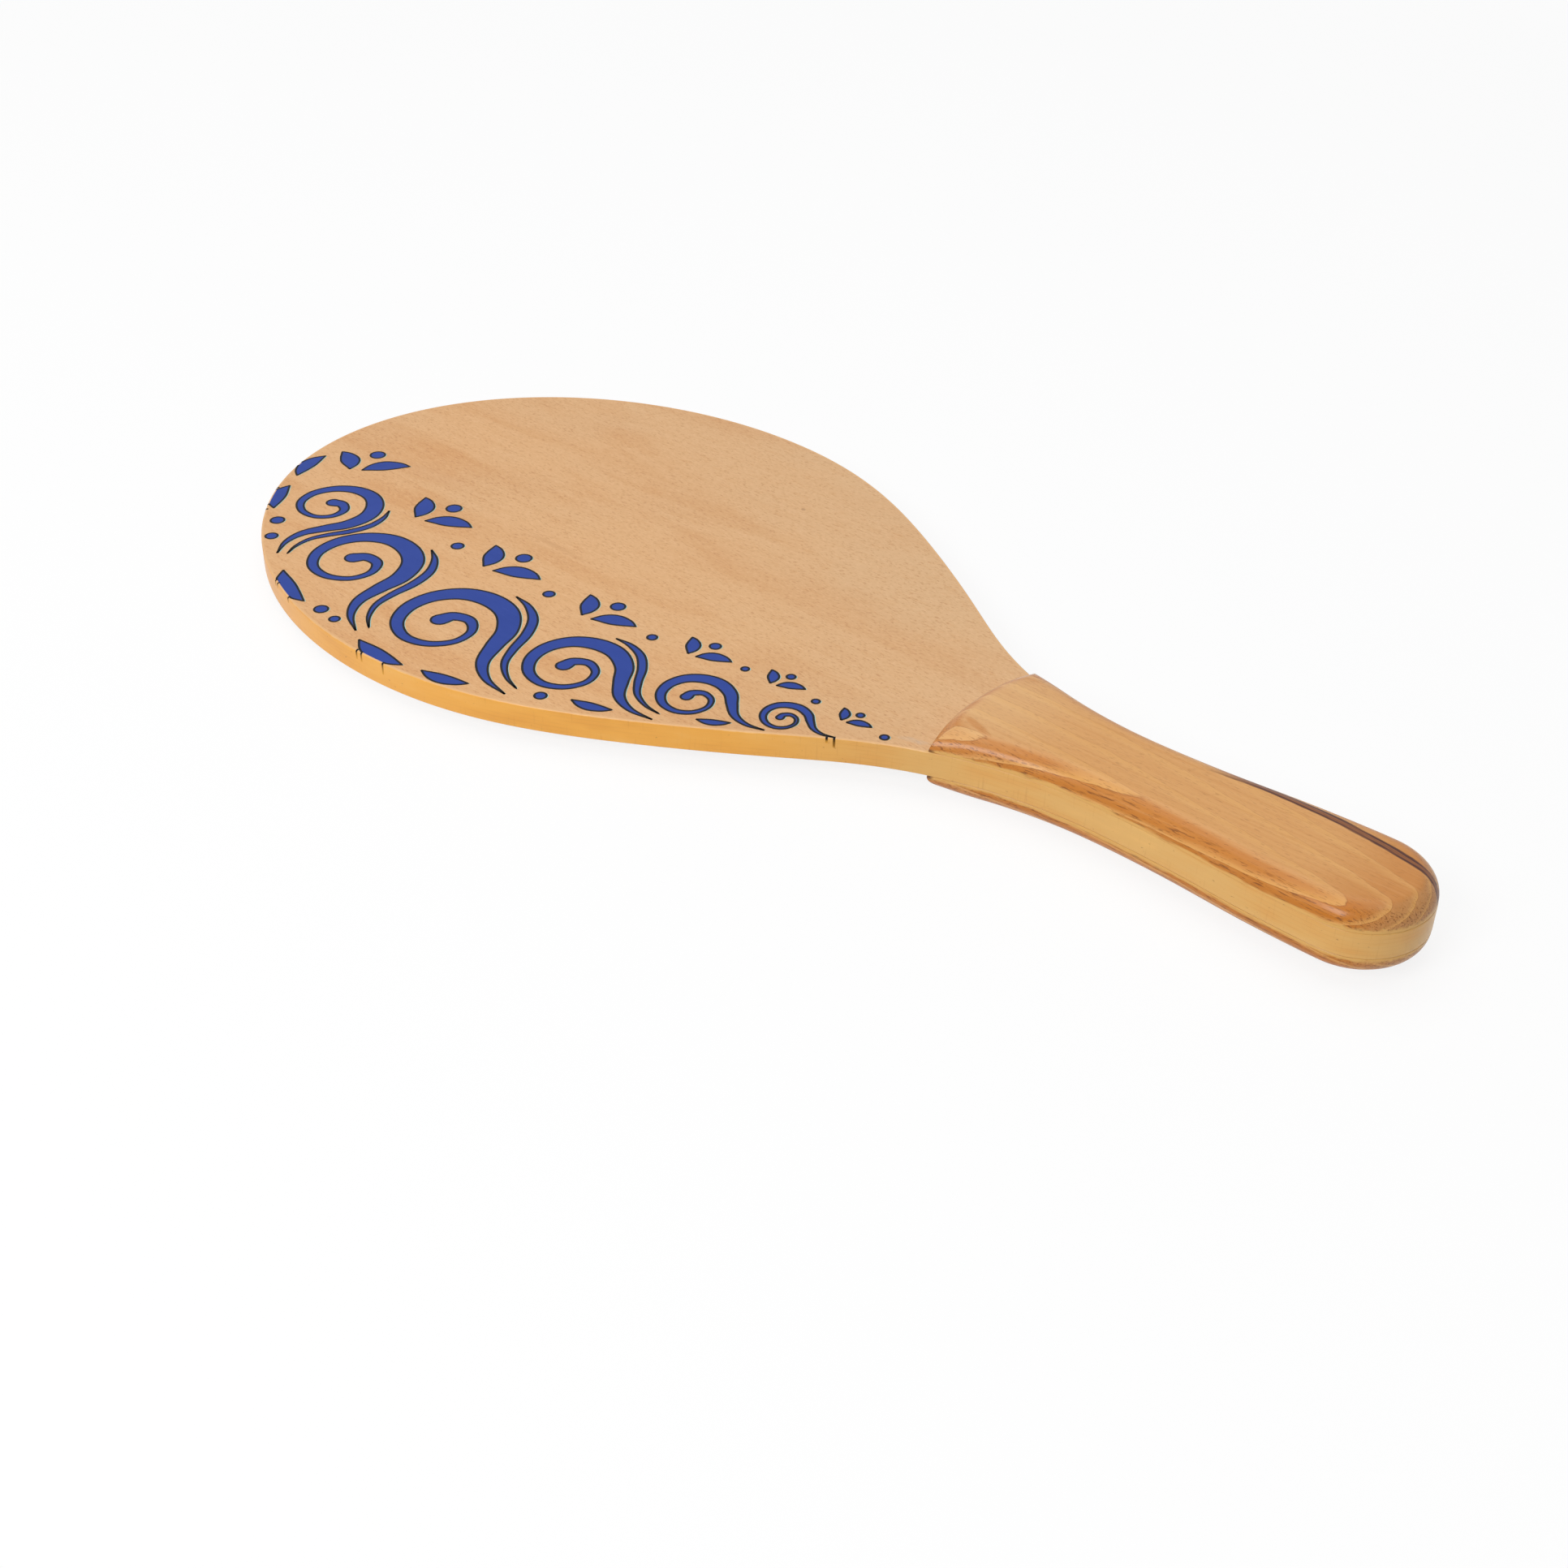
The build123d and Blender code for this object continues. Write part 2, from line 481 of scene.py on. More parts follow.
def ink(name, colour, run_colour=None):
    """Screen ink: nearly even, mottled by the grain under it. Runs fade to the colour that they run over."""
    surface = Surface(name)
    mottle = surface.noise((9, 5, 3), detail=3.0, roughness=0.6)
    grain = surface.noise((9, 0.4, 0.4))
    darker = [channel * 0.7 for channel in colour]
    surface.colour = surface.mixed(mottle.step(0.35, 0.8) * 0.22, colour, darker)
    paler = [min(1.0, channel * 1.5 + 0.02) for channel in colour]
    surface.lay(grain.step(0.62, 0.8) * 0.16, paler)
    if run_colour is not None:
        run_out = surface.value("ShaderNodeAttribute", {"attribute_name": "fade"}, output=2)
        surface.lay(run_out.step(0.15, 1.0) * 0.85, run_colour)
    height = grain * 0.6 + mottle * 0.4
    return surface.finished(0.5 + mottle * 0.1, height, 0.012 * MM, Specular_IOR_Level=0.15)


# The racket's outline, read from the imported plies

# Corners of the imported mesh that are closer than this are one
CORNER_GAP = 0.05 * MM
OUTLINE_STEPS = 1400


def ply_corners():
    """Corners of a ply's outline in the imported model, from the tip round by +Y to the butt and back."""
    places = [vertex.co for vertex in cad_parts["middle_cross_ply"].data.vertices]
    top = max(place.z for place in places)
    on_top = [place for place in places if place.z > top - CORNER_GAP and place.y > -CORNER_GAP / 50]
    side = []
    for place in sorted((round(place.x, 7), round(place.y, 7)) for place in on_top):
        if not side or math.dist(side[-1], place) > CORNER_GAP:
            side.append(place)
    upper = np.array(side)
    upper[[0, -1], 1] = 0.0
    return np.vstack([upper, (upper * [1, -1])[-2:0:-1]])


def closed_curve(corners, count):
    """Even steps along the smooth closed curve through the corners, and its direction at each."""
    ahead = np.roll(corners, -1, axis=0)
    run = np.linalg.norm(ahead - corners, axis=1)
    before = np.roll(run, 1)
    size = len(corners)
    rows = np.arange(size)
    system = np.zeros((size, size))
    system[rows, rows - 1] = before
    system[rows, rows] = 2 * (before + run)
    system[rows, (rows + 1) % size] = run
    slope = (ahead - corners) / run[:, None]
    bend = np.linalg.solve(system, 6 * (slope - np.roll(slope, 1, axis=0)))
    bend_ahead = np.roll(bend, -1, axis=0)

    ends = np.concatenate([[0], np.cumsum(run)])
    place = np.linspace(0, ends[-1], count, endpoint=False)
    piece = np.minimum(np.searchsorted(ends, place, side="right") - 1, size - 1)
    span = run[piece][:, None]
    after = (place - ends[piece])[:, None]
    left = span - after
    points = (bend[piece] * left**3 + bend_ahead[piece] * after**3) / (6 * span)
    points += (corners[piece] / span - bend[piece] * span / 6) * left
    points += (ahead[piece] / span - bend_ahead[piece] * span / 6) * after
    direction = (bend_ahead[piece] * after**2 - bend[piece] * left**2) / (2 * span)
    direction += slope[piece] - span * (bend_ahead[piece] - bend[piece]) / 6
    direction /= np.linalg.norm(direction, axis=1)[:, None]
    return points, direction


OUTLINE, DIRECTION = closed_curve(ply_corners(), OUTLINE_STEPS)
OUTWARD = np.column_stack([-DIRECTION[:, 1], DIRECTION[:, 0]])
STEP_LENGTH = float(np.linalg.norm(np.roll(OUTLINE, -1, axis=0) - OUTLINE, axis=1).mean())
NECK = next(x for x, y in OUTLINE[: OUTLINE_STEPS // 2] if x > 0 and y < SCALE_HALF_WIDTH)


# Meshes

SHARP_ANGLE = math.radians(40)
WELD = 0.0005 * MM


def add_object(name, data):
    made = bpy.data.objects.new(name, data)
    bpy.context.scene.collection.objects.link(made)
    return made


def settle_piece(name, mesh, material, replaced=()):
    """Makes a mesh a piece that rides on the racket, with its normals outwards."""
    piece = add_object(name, mesh)
    mesh.materials.clear()
    mesh.materials.append(material)
    shape = bmesh.new()
    shape.from_mesh(mesh)
    bmesh.ops.remove_doubles(shape, verts=shape.verts, dist=WELD)
    bmesh.ops.recalc_face_normals(shape, faces=shape.faces)
    shape.to_mesh(mesh)
    shape.free()
    mesh.polygons.foreach_set("use_smooth", [True] * len(mesh.polygons))
    mesh.set_sharp_from_angle(angle=SHARP_ANGLE)
    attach(piece, BODY)
    if replaced:
        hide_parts(*replaced)
    return piece


def wire(name, points, edges, attributes):
    """An object of bare edges, which carries named values at its points for a node tree to read."""
    mesh = bpy.data.meshes.new(name)
    mesh.from_pydata([tuple(point) for point in points], edges, [])
    for label, values in attributes.items():
        values = np.asarray(values, np.float32)
        kind, field = ("FLOAT_VECTOR", "vector") if values.ndim == 2 else ("FLOAT", "value")
        layer = mesh.attributes.new(label, kind, "POINT")
        layer.data.foreach_set(field, values.ravel())
    return add_object(name, mesh)


def loop_edges(count):
    return [(step, (step + 1) % count) for step in range(count)]


class GrowthNet(Net):
    """A Geometry Nodes tree that takes wires, named sizes and a material, and ends in one painted mesh."""

    def __init__(self, name, inputs):
        tree = bpy.data.node_groups.new(name, "GeometryNodeTree")
        super().__init__(tree)
        tree.interface.new_socket("Geometry", in_out="OUTPUT", socket_type="NodeSocketGeometry")
        for label, kind in {"Geometry": "Geometry", **inputs, "Material": "Material"}.items():
            tree.interface.new_socket(label, in_out="INPUT", socket_type="NodeSocket" + kind)
        self.given = self.node("NodeGroupInput").outputs

    def named(self, label, kind="FLOAT"):
        """The values that the wire carries under a name."""
        return self.node("GeometryNodeInputNamedAttribute", {"data_type": kind}, {"Name": label}).outputs[0]

    def curve(self, mesh):
        return self.node("GeometryNodeMeshToCurve", sockets={"Mesh": mesh})

    def end(self, geometry):
        real = self.node("GeometryNodeRealizeInstances", sockets={0: geometry})
        sockets = {"Geometry": real, "Material": self.given["Material"]}
        painted = self.node("GeometryNodeSetMaterial", sockets=sockets)
        self.node("NodeGroupOutput", sockets={0: painted})
        return self.tree


def grown(source, tree, values):
    """The mesh that a node tree makes of an object. The object goes, and so does the modifier."""
    modifier = source.modifiers.new(tree.name, "NODES")
    modifier.node_group = tree
    for item in tree.interface.items_tree:
        if item.in_out == "INPUT" and item.name in values:
            modifier[item.identifier] = values[item.name]
    bpy.context.view_layer.update()
    evaluated = source.evaluated_get(bpy.context.evaluated_depsgraph_get())
    mesh = bpy.data.meshes.new_from_object(evaluated)
    source.modifiers.clear()
    bpy.data.objects.remove(source)
    return mesh


# Rim

# How far in on the face the coat runs, and how thin it is there
COAT_LAP = 0.25 * MM
COAT_ON_FACE = 0.012 * MM
# The coat's inner edge is sunk into the face, so that it is closed
COAT_TIP_WIDTH = 0.08 * MM
COAT_TIP_HEIGHT = 0.004 * MM
COAT_SUNK = 0.3 * MM
# Between the scales, the coat's square corner stays so far below the joint. It squares up over a short way
SQUARE_GAP = 0.02 * MM
SQUARE_LEAD = 0.5 * MM
SQUARE_WAY = 1.5 * MM


def rim_section(rim, corner_steps=6):
    """Section through the coat as (inwards, up) from the outline, and each point's way to a square corner."""
    arris = rim.arris
    coat = rim.thickness
    half = (FACE_TOP - FACE_BOTTOM) / 2
    lap = arris + COAT_LAP
    quarter = [
        ((lap, half - COAT_SUNK), (0, 0)),
        ((lap, half + COAT_TIP_HEIGHT), (0, 0)),
        ((lap - COAT_TIP_WIDTH, half + COAT_ON_FACE), (0, 0)),
    ]
    for step in range(corner_steps + 1):
        angle = math.pi / 2 * step / corner_steps
        reach = arris + coat * math.sin(angle)
        inwards = arris - reach * math.sin(angle)
        up = half - arris + (reach + COAT_ON_FACE * math.cos(angle)) * math.cos(angle)
        right = (-coat - inwards) * math.sin(2 * angle) * math.sin(angle)
        rise = (half - SQUARE_GAP - up) * math.sin(2 * angle) * math.cos(angle)
        quarter.append(((inwards, up), (right, rise)))
    for share in (0.6, 0.3):
        quarter.append(((-coat, (half - arris) * share), (0, 0)))
    lower = [((inwards, -up), (right, -rise)) for (inwards, up), (right, rise) in reversed(quarter)]
    return quarter + [((-coat, 0.0), (0, 0))] + lower


def coat_tree():
    """Node tree that sweeps the coat's section round the outline and squares it where the scales cover it."""
    net = GrowthNet("rim coat", {"Section": "Object"})
    section = net.node("GeometryNodeObjectInfo", sockets={"Object": net.given["Section"]})
    profile = net.curve(section.outputs["Geometry"])
    sockets = {"Curve": net.curve(net.given["Geometry"]), "Profile Curve": profile}
    coat = net.node("GeometryNodeCurveToMesh", sockets=sockets)
    right, rise, _ = net.axes(net.named("square", "FLOAT_VECTOR"))
    covered = net.named("covered")
    sideways = {0: net.named("outward", "FLOAT_VECTOR"), "Scale": right * covered * -1}
    upwards = net.node("ShaderNodeCombineXYZ", sockets={2: rise * covered})
    move = net.vector_maths("ADD", {0: net.vector_maths("SCALE", sideways), 1: upwards})
    return net.end(net.node("GeometryNodeSetPosition", sockets={"Geometry": coat, "Offset": move}))


def outline_step(place):
    """Number of the outline's step that is nearest to a place."""
    away = OUTLINE - np.asarray(place)
    return int(np.argmin((away * away).sum(axis=1)))


def unroll_rim(mesh):
    """UV map in metres: the way round the racket against the height."""
    nearest = np.array([outline_step(vertex.co.xy) for vertex in mesh.vertices])
    layer = mesh.uv_layers.new(name="unrolled")
    for polygon in mesh.polygons:
        steps = nearest[list(polygon.vertices)]
        if steps.max() - steps.min() > OUTLINE_STEPS / 2:
            steps = np.where(steps < OUTLINE_STEPS / 2, steps + OUTLINE_STEPS, steps)
        for loop, vertex, step in zip(polygon.loop_indices, polygon.vertices, steps):
            layer.data[loop].uv = (step * STEP_LENGTH, mesh.vertices[vertex].co.z)


# Handle scales

SIDE_STEPS = 170
FRONT_STEPS = 48
# Steps before the neck at which a side is first looked at, and rows over which the front's bow dies away
LEAD_STEPS = 12
BOW_STEPS = 60
# Bevel of the glued face's edge
BEVEL = (0.10 * MM, 0.12 * MM)
# Crown at the long edges and at the ends, as multiples of the setting
CROWN_ACROSS = 1.6
CROWN_ALONG = 0.8
# The waves that sanding leaves: their length, their width, and the height over which they begin
WAVE_LENGTH = 26 * MM
WAVE_WIDTH = 9 * MM
WAVE_BEGINS = 2 * MM
# How far from the corner its drop begins, and the lift of the one corner that stands off the veneer
CORNER_REACH = 18 * MM
LIFT = 0.42 * MM
LIFT_REACH = 7.5 * MM
LIFT_HEIGHT = 0.5 * MM


def front_radius():
    """Radius of the arc at a scale's front, from its bow and its half width."""
    bow = NECK - SCALE_FRONT
    return (SCALE_HALF_WIDTH**2 + bow**2) / (2 * bow)


def side_offset(inset):
    """The +Y edge of a scale, moved in by inset, from its front corner to the butt."""
    half = OUTLINE_STEPS // 2
    start = int(np.argmax(OUTLINE[:half, 0] > NECK)) - LEAD_STEPS
    edge = OUTLINE[start : half + 1] - OUTWARD[start : half + 1] * inset
    radius = front_radius()
    away = np.linalg.norm(edge - [SCALE_FRONT + radius, 0], axis=1) - (radius - inset)
    first = int(np.argmax(away < 0))
    share = away[first - 1] / (away[first - 1] - away[first])
    corner = edge[first - 1] + (edge[first] - edge[first - 1]) * share
    return np.vstack([corner, edge[first:]])


def spaced(line, count):
    """Even steps along an open line, both ends kept."""
    run = np.concatenate([[0], np.cumsum(np.linalg.norm(np.diff(line, axis=0), axis=1))])
    place = np.linspace(0, run[-1], count)
    return np.column_stack([np.interp(place, run, line[:, axis]) for axis in (0, 1)])


def scale_ring(inset):
    """Loop of a scale's plan moved in by inset: +Y side to the butt, back by -Y, then across the front."""
    side = spaced(side_offset(inset), SIDE_STEPS)
    side[-1, 1] = 0.0
    radius = front_radius()
    reach = math.asin(side[0, 1] / (radius - inset))
    angles = np.linspace(-reach, reach, FRONT_STEPS + 1)[1:-1]
    along = SCALE_FRONT + radius - (radius - inset) * np.cos(angles)
    front = np.column_stack([along, (radius - inset) * np.sin(angles)])
    return np.vstack([side, (side * [1, -1])[-2::-1], front])


def scale_level(ring, height):
    """Rows straight across a ring, which close the scale above or below."""
    side = ring[:SIDE_STEPS]
    front = np.vstack([ring[2 * SIDE_STEPS - 2 :], ring[0]])
    bow = front[0, 0] - front[:, 0].min()
    spread = np.linspace(-1, 1, FRONT_STEPS + 1)
    rows = [front]
    for step, (x, y) in enumerate(side[1:-1], start=1):
        bowed = bow * max(0.0, 1 - step / BOW_STEPS) * (1 - spread**2)
        rows.append(np.column_stack([x - bowed, y * spread]))
    rows.append(np.repeat(side[-1:], FRONT_STEPS + 1, axis=0))
    return [np.column_stack([row, np.full(len(row), height)]) for row in rows]


def scale_profile(grip, steps=14):
    """(inset, height) from the glued face up the wall and over the rounding to the flat."""
    radius = grip.round_over
    wall = SCALE_THICKNESS - radius
    profile = [(BEVEL[0], 0.0), (0.0, BEVEL[1])]
    for step in range(steps + 1):
        angle = math.pi / 2 * step / steps
        profile.append((radius * (1 - math.cos(angle)), wall + radius * math.sin(angle)))
    return profile


def scale_shape(grip, seed, lifted_corner):
    """Vertices and faces of a scale, its glued face at height 0 and its flat above."""
    profile = scale_profile(grip)
    rings = [scale_ring(inset) for inset, _ in profile]
    vertices = [(*point, height) for ring, (_, height) in zip(rings, profile) for point in ring]
    size = len(rings[0])
    faces = []
    for level in range(len(rings) - 1):
        for step, following in loop_edges(size):
            low, low_next = level * size + step, level * size + following
            faces.append((low, low_next, low_next + size, low + size))
    for ring, height in ((rings[-1], profile[-1][1]), (rings[0], 0.0)):
        first = len(vertices)
        rows = scale_level(ring, height)
        width = len(rows[0])
        vertices.extend(tuple(point) for row in rows for point in row)
        for row in range(len(rows) - 1):
            for low in range(first + row * width, first + row * width + width - 1):
                faces.append((low, low + 1, low + 1 + width, low + width))
    return np.array([worked(Vector(v), grip, seed, lifted_corner) for v in vertices]), faces


def worked(point, grip, seed, lifted_corner):
    """Moves a point of a scale as hand sanding does: a slight crown, slow waves and low front corners."""
    share = point.z / SCALE_THICKNESS
    half_length = (BUTT - SCALE_FRONT) / 2
    across = point.y / SCALE_HALF_WIDTH
    along = (point.x - SCALE_FRONT - half_length) / half_length
    from_corner = math.dist((point.x, abs(point.y)), (NECK, SCALE_HALF_WIDTH))
    wave = noise.noise(Vector((point.x / WAVE_LENGTH, point.y / WAVE_WIDTH, seed + share)))
    wave *= grip.hand_sanding * min(1.0, point.z / WAVE_BEGINS)
    on_flat = share > 0.98

    moved = point.copy()
    moved.z -= grip.crown * share * (CROWN_ACROSS * across**2 + CROWN_ALONG * along**4)
    moved.z += min(0.0, wave) if on_flat else wave * 0.5
    moved.y *= 1 - abs(wave) * 0.3 / SCALE_HALF_WIDTH
    moved.z -= grip.corner_drop * share * max(0.0, 1 - from_corner / CORNER_REACH) ** 2
    if lifted_corner and point.z < LIFT_HEIGHT and point.y < 0:
        moved.z += LIFT * max(0.0, 1 - from_corner / LIFT_REACH) ** 2
    return moved


def scale_mesh(name, grip, seed, lifted_corner, glued_height, way):
    """A scale's mesh, from its glued face upwards where way is 1, and downwards where it is -1."""
    vertices, faces = scale_shape(grip, seed, lifted_corner)
    vertices[:, 2] = glued_height + way * vertices[:, 2]
    mesh = bpy.data.meshes.new(name)
    mesh.from_pydata(vertices.tolist(), [], faces)
    return mesh


# Print: running waves with sprigs between them. The tables of the motifs are in millimetres

# How far inside the arris the print ends, the distance over which a drawn line swells, and the height of a
# line's underside over the face, in layers of ink
PRINT_GAP = 0.02 * MM
SWELL = 6 * MM
LINE_BOTTOM = 3
# Runs of ink over the edge: how many at a line's end, steps of the outline between them, length in
# millimetres, width as a share of a line's, how far inside the arris they begin, and their steps over it
RUN_COUNTS = (1, 1, 2)
RUN_ASIDE = (-5, -3, -2, 2, 3, 4)
RUN_LENGTHS = (1.4, 4.6)
RUN_WIDTHS = (0.35, 0.65)
RUN_LEAD = 0.4 * MM
TURN_STEPS = 6
# A trimmed outline's points lie at least so far apart
SPACING = 0.03 * MM

# A wave of size 1: place and width along its stroke, from the end of the tail to the middle of the curl
WAVE = (
    (2.30, -1.10, 0.00), (1.74, -0.96, 0.12), (1.32, -0.62, 0.22), (1.09, -0.10, 0.31), (0.90, 0.42, 0.38),
    (0.50, 0.84, 0.42), (-0.02, 0.98, 0.42), (-0.54, 0.85, 0.38), (-0.90, 0.45, 0.33), (-0.99, -0.08, 0.28),
    (-0.78, -0.58, 0.23), (-0.34, -0.85, 0.19), (0.14, -0.78, 0.16), (0.46, -0.44, 0.14), (0.46, -0.02, 0.15),
    (0.18, 0.24, 0.20), (-0.14, 0.17, 0.26), (-0.25, -0.06, 0.33),
)
# The thinner line that follows the wave's back
RIPPLE = (
    (0.22, 1.36, 0.00), (0.62, 1.24, 0.11), (1.00, 0.96, 0.17), (1.26, 0.52, 0.18), (1.42, 0.02, 0.15),
    (1.62, -0.40, 0.11), (1.96, -0.70, 0.06), (2.34, -0.86, 0.00),
)
# Middle, size, turn in degrees, and whether a ripple follows
WAVES = (
    (-187, -48, 15.0, -46, True), (-147.5, -68.5, 18.5, -17, True), (-92.5, -75.0, 19.5, 3, True),
    (-41.5, -67.0, 16.0, 17, True), (0, -54.0, 11.5, 26, False), (29.5, -43.6, 7.4, 30, False),
)
# A sprig of size 1: each leaf's foot, tip, width and bend, and the berry's place and radius
SPRIG_LEAVES = ((-0.16, 0.02, -0.66, 1.02, 0.50, -0.10), (0.18, 0.00, 1.42, 0.40, 0.50, 0.12))
SPRIG_BERRY = (0.36, 0.96, 0.20)
# Foot, size and turn in degrees
SPRIGS = (
    (-205, -23, 14.0, 34), (-157, -33, 14.0, 8), (-111.5, -41.5, 14.0, 4), (-62.0, -42, 12.5, 6),
    (-18.5, -36, 9.5, 8), (13.5, -31.5, 7.4, 10), (44.5, -33, 6.4, 4),
)
# Foot, tip, width and bend
RIM_LEAVES = (
    (-222.5, -23, -217.5, -41, 6.0, -0.10), (-213, -48, -203, -63.5, 6.2, -0.10),
    (-163.5, -90.5, -141, -99.5, 6.6, -0.10), (-107.5, -103.4, -84.5, -104.4, 6.2, -0.08),
    (-77.5, -102.4, -60.0, -97.6, 5.0, -0.08), (-28.5, -82.0, -14.5, -77.6, 4.2, -0.08),
    (9.0, -63.5, 18.5, -57.8, 3.0, -0.08),
)
# Middle and radius
DROPS = (
    (-194.5, -68.5, 2.5), (-186.5, -77.5, 2.2), (-132.5, -99.0, 2.4), (-124.0, -100.2, 1.8),
    (-37.5, -87.0, 2.0), (-131.5, -37.5, 2.2), (-82.5, -39.5, 2.0), (-36.0, -36.5, 1.7),
    (0.5, -30.5, 1.3), (30.5, -30.0, 1.3), (60.0, -31.5, 1.4),
)


def smooth_line(stations, steps):
    """Smooth line through the stations, whose columns are the place and the width."""
    rows = np.asarray(stations, float)
    rows = np.vstack([2 * rows[0] - rows[1], rows, 2 * rows[-1] - rows[-2]])
    share = np.linspace(0, 1, steps, endpoint=False)[:, None]
    line = []
    for before, here, ahead, beyond in zip(rows, rows[1:], rows[2:], rows[3:]):
        curve = 2 * here + (ahead - before) * share
        curve = curve + (2 * before - 5 * here + 4 * ahead - beyond) * share**2
        curve = curve + (3 * here - before - 3 * ahead + beyond) * share**3
        line.append(curve / 2)
    return np.vstack([*line, rows[-2][None]])


def stroke(stations, steps=9, round_end=False):
    """Closed outline of a brush stroke through stations of place and width."""
    line = smooth_line(stations, steps)
    place, half = line[:, :2], np.maximum(line[:, 2:], 0) / 2
    run = np.gradient(place, axis=0)
    run /= np.linalg.norm(run, axis=1)[:, None]
    side = np.column_stack([-run[:, 1], run[:, 0]])
    left, right = place + side * half, place - side * half
    if not round_end:
        return np.vstack([left, right[::-1]])
    turn = np.linspace(math.pi / 2, -math.pi / 2, 9)[1:-1, None]
    cap = place[-1] + half[-1] * (np.sin(turn) * side[-1] + np.cos(turn) * run[-1])
    return np.vstack([left, cap, right[::-1]])


def placed(stations, x, y, size, turn):
    """Stations of a motif of size 1, brought to its size, turned and moved to its place."""
    angle = math.radians(turn)
    return [
        (x + a * math.cos(angle) - b * math.sin(angle), y + a * math.sin(angle) + b * math.cos(angle), width)
        for a, b, width in np.array(stations) * size
    ]


def sprig(x, y, size, turn):
    """Two leaves and the berry between them."""
    drawn = []
    for foot_x, foot_y, tip_x, tip_y, width, bend in SPRIG_LEAVES:
        foot, tip = placed([(foot_x, foot_y, 0), (tip_x, tip_y, 0)], x, y, size, turn)
        drawn.append(leaf(*foot[:2], *tip[:2], width * size, bend))
    drawn.append(drop(*placed([SPRIG_BERRY], x, y, size, turn)[0]))
    return drawn


def leaf(x, y, tip_x, tip_y, width, bend):
    """Leaf with pointed ends, bent to one side by a share of its length."""
    base = np.array([x, y], float)
    run = np.array([tip_x, tip_y]) - base
    side = np.array([-run[1], run[0]])
    stations = [(*base, 0)]
    for along, sideways, share in ((0.25, 0.75, 0.75), (0.5, 1.0, 1.0), (0.78, 0.66, 0.66)):
        stations.append((*(base + along * run + bend * sideways * side), width * share))
    stations.append((tip_x, tip_y, 0))
    return stroke(stations)


def drop(x, y, radius, steps=26):
    angle = np.linspace(0, 2 * math.pi, steps, endpoint=False)
    return np.column_stack([x + radius * np.cos(angle), y + radius * np.sin(angle)])


def shapes():
    """Outline of every printed shape, in metres."""
    drawn = []
    for x, y, size, turn, rippled in WAVES:
        drawn.append(stroke(placed(WAVE, x, y, size, turn), round_end=True))
        if rippled:
            drawn.append(stroke(placed(RIPPLE, x, y, size, turn)))
    for row in SPRIGS:
        drawn += sprig(*row)
    drawn += [leaf(*row) for row in RIM_LEAVES]
    drawn += [drop(*row) for row in DROPS]
    return [outline * MM for outline in drawn]


def trimmed(shape, inset):
    """The shape held inside the outline by inset, and which of its points were outside."""
    kept = []
    outside = []
    for point in shape:
        step = outline_step(point)
        away = point - OUTLINE[step]
        over = float(away @ OUTWARD[step]) > -inset
        if over:
            point = OUTLINE[step] + DIRECTION[step] * float(away @ DIRECTION[step]) - OUTWARD[step] * inset
        if not kept or math.dist(kept[-1], point) > SPACING:
            kept.append(point)
            outside.append(over)
    return np.array(kept), np.array(outside)


def add_film(name, outlines, low, high, material):
    """Flat film between two heights, filled inside each outline."""
    shape = bmesh.new()
    for outline in outlines:
        face = shape.faces.new([shape.verts.new((x, y, low)) for x, y in outline])
        raised = bmesh.ops.extrude_face_region(shape, geom=[face])["geom"]
        corners = [part for part in raised if isinstance(part, bmesh.types.BMVert)]
        bmesh.ops.translate(shape, verts=corners, vec=(0, 0, high - low))
    bmesh.ops.triangulate(shape, faces=shape.faces)
    mesh = bpy.data.meshes.new(name)
    shape.to_mesh(mesh)
    shape.free()
    settle_piece(name, mesh, material)


def line_tree():
    """Node tree that lays a thin flat line of ink along every path, thinner where the path's width falls."""
    net = GrowthNet("ink line", {"Width": "Float", "Film": "Float"})
    sockets = {"Curve": net.curve(net.given["Geometry"]), "Radius": net.named("width")}
    tapered = net.node("GeometryNodeSetCurveRadius", sockets=sockets)
    sockets = {"Width": net.given["Width"], "Height": net.given["Film"]}
    section = net.node("GeometryNodeCurvePrimitiveQuadrilateral", {"mode": "RECTANGLE"}, sockets)
    sockets = {"Curve": tapered, "Profile Curve": section, "Fill Caps": True}
    return net.end(net.node("GeometryNodeCurveToMesh", sockets=sockets))


class Paths:
    """Open and closed paths with a width at each point, gathered for one wire object."""

    def __init__(self):
        self.points = []
        self.edges = []
        self.widths = []
        self.fades = []

    def add(self, points, widths, fades, closed=False):
        first = len(self.points)
        self.points.extend(points)
        self.widths.extend(widths)
        self.fades.extend(fades)
        edges = [(first + step, first + following) for step, following in loop_edges(len(points))]
        self.edges.extend(edges if closed else edges[:-1])

    def wire(self, name):
        return wire(name, self.points, self.edges, {"width": self.widths, "fade": self.fades})


def line_runs(outline, outside):
    """The stretches of a trimmed outline that lie inside the rim, each with whether it is the whole loop."""
    if not outside.any():
        return [(outline, True)]
    count = len(outline)
    start = int(np.argmax(outside))
    runs = []
    current = []
    for step in range(count + 1):
        index = (start + step) % count
        if outside[index]:
            if len(current) > 2:
                runs.append((np.array([*current, outline[index]]), False))
            current = [outline[index]]
        else:
            current.append(outline[index])
    return runs


def hand_width(point, seed):
    """How far a drawn line swells or thins, as a share of its width."""
    return 1.0 + 0.25 * noise.noise(Vector((point[0] / SWELL, point[1] / SWELL, seed)))


